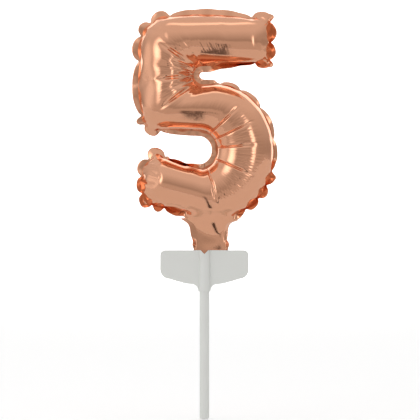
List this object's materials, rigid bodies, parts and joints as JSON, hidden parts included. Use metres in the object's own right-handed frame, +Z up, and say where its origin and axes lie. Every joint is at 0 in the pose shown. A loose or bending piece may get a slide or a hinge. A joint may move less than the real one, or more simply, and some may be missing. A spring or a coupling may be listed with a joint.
{
  "type": "foil number balloon",
  "caption": "Small air-filled foil balloon in the shape of the numeral 5, held by its neck in a winged plastic holder that plugs onto a hollow stick.",
  "frame": {"origin": "centre of the stick's lower end", "axes": "+Z up along the stick, +X to the right as the numeral is read, -Y out of the numeral's front"},
  "size_m": [0.0742, 0.026, 0.2118],
  "materials": {
    "rose_gold_foil": "polished",
    "white_plastic": "satin",
    "adhesive_tape": "satin",
    "valve_film": "gloss"
  },
  "bodies": {
    "stick": {"stick": "white_plastic"},
    "holder": {"holder_front": "white_plastic", "holder_back": "white_plastic", "tail_front": "rose_gold_foil", "tail_back": "rose_gold_foil", "tape_front": "adhesive_tape", "tape_back": "adhesive_tape"},
    "balloon": {"front_foil": "rose_gold_foil", "back_foil": "rose_gold_foil", "valve_film_front": "valve_film", "valve_film_back": "valve_film"}
  },
  "joints": [
    {"name": "stick_plug", "type": "slide", "parent": "stick", "child": "holder", "axis": [0, 0, 1], "range_m": [0, 0.016]},
    {"name": "neck_flex", "type": "hinge", "parent": "holder", "child": "balloon", "pos_m": [0, 0, 0.0874], "axis": [1, 0, 0], "range_deg": [-20, 20], "stiffness_Nm_per_rad": 0.01}
  ]
}
